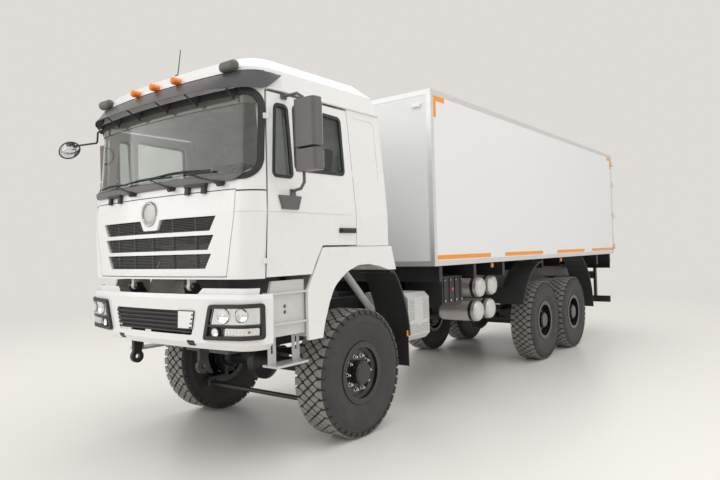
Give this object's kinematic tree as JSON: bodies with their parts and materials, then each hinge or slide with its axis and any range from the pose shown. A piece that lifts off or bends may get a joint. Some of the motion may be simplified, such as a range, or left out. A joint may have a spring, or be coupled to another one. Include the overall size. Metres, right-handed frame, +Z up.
{
  "type": "six-wheel-drive box truck",
  "caption": "White all-wheel-drive cab-over truck on big single tyres, with a tilting cab and a plain insulated box body with orange stripes.",
  "frame": {"origin": "on the ground below the middle of the truck's bounding box", "axes": "-Y to the front of the truck, +Y to the rear, +X to its left side, +Z up"},
  "size_m": [3.3008, 10.395, 3.817],
  "materials": {
    "cab_white": "gloss",
    "box_white": "satin",
    "box_aluminium": "satin",
    "chassis_black": "satin",
    "rim_black": "satin",
    "tyre_rubber": "matte",
    "dark_plastic": "matte",
    "grey_plastic": "matte",
    "step_grey": "satin",
    "tank_silver": "satin",
    "lamp_clear": "polished",
    "lamp_amber": "gloss",
    "window_glass": "polished",
    "visor_smoke": "gloss",
    "seat_cloth": "matte",
    "cab_lining": "matte",
    "engine_grey": "matte"
  },
  "bodies": {
    "chassis": {"chassis_frame": "chassis_black", "box_subframe": "chassis_black", "front_axle": "chassis_black", "rear_axles": "chassis_black", "leaf_springs": "chassis_black", "engine_block": "engine_grey", "drivetrain": "chassis_black", "front_bumper": "cab_white", "front_brackets": "chassis_black", "bumper_grille": "dark_plastic", "headlamp_frames": "dark_plastic", "headlamps": "lamp_clear", "front_fenders": "cab_white", "side_steps": "step_grey", "silencer_box": "step_grey", "battery_box": "dark_plastic", "air_tanks": "tank_silver", "fuel_tank": "tank_silver", "mudguards": "dark_plastic", "rear_board": "chassis_black", "marker_lamps": "lamp_amber", "box_frame": "box_aluminium", "box_panels": "box_white"},
    "steer_left_unit": {"knuckle_left": "chassis_black"},
    "steer_right_unit": {"knuckle_right": "chassis_black"},
    "tie_rod_unit": {"tie_rod": "chassis_black"},
    "cab": {"cab_floor": "cab_lining", "cab_front": "cab_white", "cab_back": "cab_white", "cab_roof": "cab_white", "windscreen": "window_glass", "sun_visor": "visor_smoke", "roof_lamps": "lamp_amber", "roof_vents": "grey_plastic", "roof_aerial": "dark_plastic", "seats": "seat_cloth", "dashboard": "grey_plastic"},
    "door_left": {"cab_door_left": "cab_white", "door_glass_left": "window_glass", "door_mirrors_left": "grey_plastic"},
    "door_right": {"cab_door_right": "cab_white", "door_glass_right": "window_glass", "door_mirrors_right": "grey_plastic"},
    "flap": {"front_flap": "cab_white", "flap_grille": "dark_plastic"},
    "rear_door_left": {"box_door_left": "box_white"},
    "rear_door_right": {"box_door_right": "box_white"},
    "wheel_unit_front_left": {"tyre_front_left": "tyre_rubber", "wheel_front_left": "rim_black"},
    "wheel_unit_front_right": {"tyre_front_right": "tyre_rubber", "wheel_front_right": "rim_black"},
    "wheel_unit_middle_left": {"tyre_middle_left": "tyre_rubber", "wheel_middle_left": "rim_black"},
    "wheel_unit_middle_right": {"tyre_middle_right": "tyre_rubber", "wheel_middle_right": "rim_black"},
    "wheel_unit_rear_left": {"tyre_rear_left": "tyre_rubber", "wheel_rear_left": "rim_black"},
    "wheel_unit_rear_right": {"tyre_rear_right": "tyre_rubber", "wheel_rear_right": "rim_black"}
  },
  "joints": [
    {"name": "steer_left", "type": "hinge", "parent": "chassis", "child": "steer_left_unit", "pos_m": [0.8, -3.56, 0.63], "axis": [0, 0, 1], "range_deg": [-30, 30]},
    {"name": "steer_right", "type": "hinge", "parent": "chassis", "child": "steer_right_unit", "pos_m": [-0.8, -3.56, 0.63], "axis": [0, 0, 1], "range_deg": [-30, 30]},
    {"name": "tie_rod_turn", "type": "hinge", "parent": "steer_left_unit", "child": "tie_rod_unit", "pos_m": [0.8, -3.86, 0.366], "axis": [0, 0, 1], "range_deg": [-30, 30]},
    {"name": "spin_front_left", "type": "hinge", "parent": "steer_left_unit", "child": "wheel_unit_front_left", "pos_m": [1.035, -3.56, 0.63], "axis": [1, 0, 0], "continuous": true},
    {"name": "spin_front_right", "type": "hinge", "parent": "steer_right_unit", "child": "wheel_unit_front_right", "pos_m": [-1.035, -3.56, 0.63], "axis": [1, 0, 0], "continuous": true},
    {"name": "spin_middle_left", "type": "hinge", "parent": "chassis", "child": "wheel_unit_middle_left", "pos_m": [1.035, 1.304, 0.63], "axis": [1, 0, 0], "continuous": true},
    {"name": "spin_middle_right", "type": "hinge", "parent": "chassis", "child": "wheel_unit_middle_right", "pos_m": [-1.035, 1.304, 0.63], "axis": [1, 0, 0], "continuous": true},
    {"name": "spin_rear_left", "type": "hinge", "parent": "chassis", "child": "wheel_unit_rear_left", "pos_m": [1.035, 2.699, 0.63], "axis": [1, 0, 0], "continuous": true},
    {"name": "spin_rear_right", "type": "hinge", "parent": "chassis", "child": "wheel_unit_rear_right", "pos_m": [-1.035, 2.699, 0.63], "axis": [1, 0, 0], "continuous": true},
    {"name": "cab_tilt", "type": "hinge", "parent": "chassis", "child": "cab", "pos_m": [0, -5, 1.56], "axis": [1, 0, 0], "range_deg": [0, 50]},
    {"name": "door_left_hinge", "type": "hinge", "parent": "cab", "child": "door_left", "pos_m": [1.258, -4.859, 1.64], "axis": [0.0168, -0.0425, -0.999], "range_deg": [0, 70]},
    {"name": "door_right_hinge", "type": "hinge", "parent": "cab", "child": "door_right", "pos_m": [-1.258, -4.859, 1.64], "axis": [0.0168, 0.0425, 0.999], "range_deg": [0, 70]},
    {"name": "flap_hinge", "type": "hinge", "parent": "cab", "child": "flap", "pos_m": [0, -5.103, 2.369], "axis": [-1, 0, 0], "range_deg": [0, 75]},
    {"name": "rear_door_left_hinge", "type": "hinge", "parent": "chassis", "child": "rear_door_left", "pos_m": [1.3, 5.13, 2.45], "axis": [0, 0, -1], "range_deg": [0, 255]},
    {"name": "rear_door_right_hinge", "type": "hinge", "parent": "chassis", "child": "rear_door_right", "pos_m": [-1.3, 5.13, 2.45], "axis": [0, 0, 1], "range_deg": [0, 255]}
  ],
  "couplings": [
    {"joint": "steer_right", "follows": "steer_left", "ratio": 1},
    {"joint": "tie_rod_turn", "follows": "steer_left", "ratio": -1}
  ]
}
